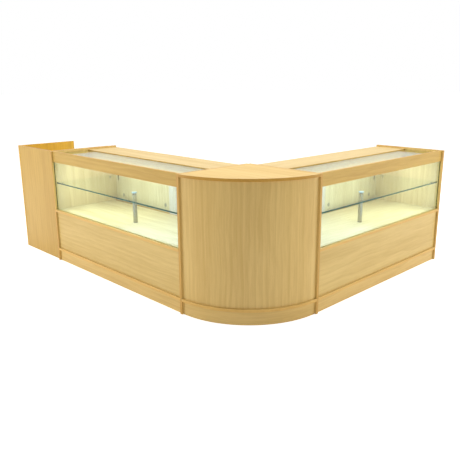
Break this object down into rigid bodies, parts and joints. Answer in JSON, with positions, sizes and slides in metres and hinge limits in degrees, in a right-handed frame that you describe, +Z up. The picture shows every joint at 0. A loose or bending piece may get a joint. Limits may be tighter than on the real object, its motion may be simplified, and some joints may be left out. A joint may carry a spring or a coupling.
{
  "type": "checkout counter",
  "caption": "L-shaped shop counter with glass display units that open at the back, a rounded corner unit and a till block with a recessed worktop.",
  "frame": {"origin": "on the floor, under the middle of the bounding box of the whole L", "axes": "+Z up; +X along the long run from the till to the corner, whose front faces -Y; +Y along the short run away from the corner, whose front faces +X"},
  "size_m": [2.8, 2.2, 0.9],
  "materials": {
    "maple_upright": "satin maple-effect melamine, grain upright",
    "maple_level": "satin maple-effect melamine, grain level",
    "clear_glass": "clear float glass with a green edge",
    "track_plastic": "beige extruded track",
    "pull_metal": "satin flush pull",
    "chrome": "polished",
    "black_plastic": "moulded",
    "bright_steel": "nickel plated"
  },
  "bodies": {
    "counter": {"corner_base_board": "maple_level", "corner_battens": "maple_level", "corner_curved_panel": "maple_upright", "corner_former": "maple_level", "corner_plinth": "maple_level", "corner_side_left": "maple_upright", "corner_side_right": "maple_upright", "corner_top": "maple_level", "floor_glides": "black_plastic", "glass_battens": "maple_level", "joining_bolts": "bright_steel", "left_base_board": "maple_level", "left_deck": "maple_level", "left_door_tracks": "track_plastic", "left_end_panel_inner": "maple_upright", "left_end_panel_outer": "maple_upright", "left_fascia": "maple_level", "left_front_glass": "clear_glass", "left_glass_shelf": "clear_glass", "left_lower_panel": "maple_level", "left_plinth": "maple_level", "left_top_glass": "clear_glass", "left_worktop": "maple_level", "rear_plinths": "maple_level", "right_base_board": "maple_level", "right_deck": "maple_level", "right_door_tracks": "track_plastic", "right_end_panel_inner": "maple_upright", "right_end_panel_outer": "maple_upright", "right_fascia": "maple_level", "right_front_glass": "clear_glass", "right_glass_shelf": "clear_glass", "right_lower_panel": "maple_level", "right_plinth": "maple_level", "right_top_glass": "clear_glass", "right_worktop": "maple_level", "shelf_pins": "bright_steel", "shelf_post_caps": "chrome", "shelf_post_plugs": "black_plastic", "shelf_post_tubes": "chrome", "till_base_board": "maple_level", "till_end_panel_inner": "maple_upright", "till_end_panel_outer": "maple_upright", "till_front_panel": "maple_upright", "till_rear_plinth": "maple_level", "till_shelf": "maple_level", "till_worktop": "maple_level", "worktop_rails": "maple_level"},
    "left_outer_door": {"left_outer_door": "maple_upright", "left_outer_door_pulls": "pull_metal", "left_outer_door_lock": "pull_metal"},
    "left_inner_door": {"left_inner_door": "maple_upright", "left_inner_door_pulls": "pull_metal"},
    "right_outer_door": {"right_outer_door": "maple_upright", "right_outer_door_pulls": "pull_metal", "right_outer_door_lock": "pull_metal"},
    "right_inner_door": {"right_inner_door": "maple_upright", "right_inner_door_pulls": "pull_metal"}
  },
  "joints": [
    {"name": "left_outer_door_slide", "type": "slide", "parent": "counter", "child": "left_outer_door", "axis": [1, 0, 0], "range_m": [0, 0.763]},
    {"name": "left_inner_door_slide", "type": "slide", "parent": "counter", "child": "left_inner_door", "axis": [-1, 0, 0], "range_m": [0, 0.763]},
    {"name": "right_outer_door_slide", "type": "slide", "parent": "counter", "child": "right_outer_door", "axis": [0, -1, 0], "range_m": [0, 0.763]},
    {"name": "right_inner_door_slide", "type": "slide", "parent": "counter", "child": "right_inner_door", "axis": [0, 1, 0], "range_m": [0, 0.763]}
  ]
}
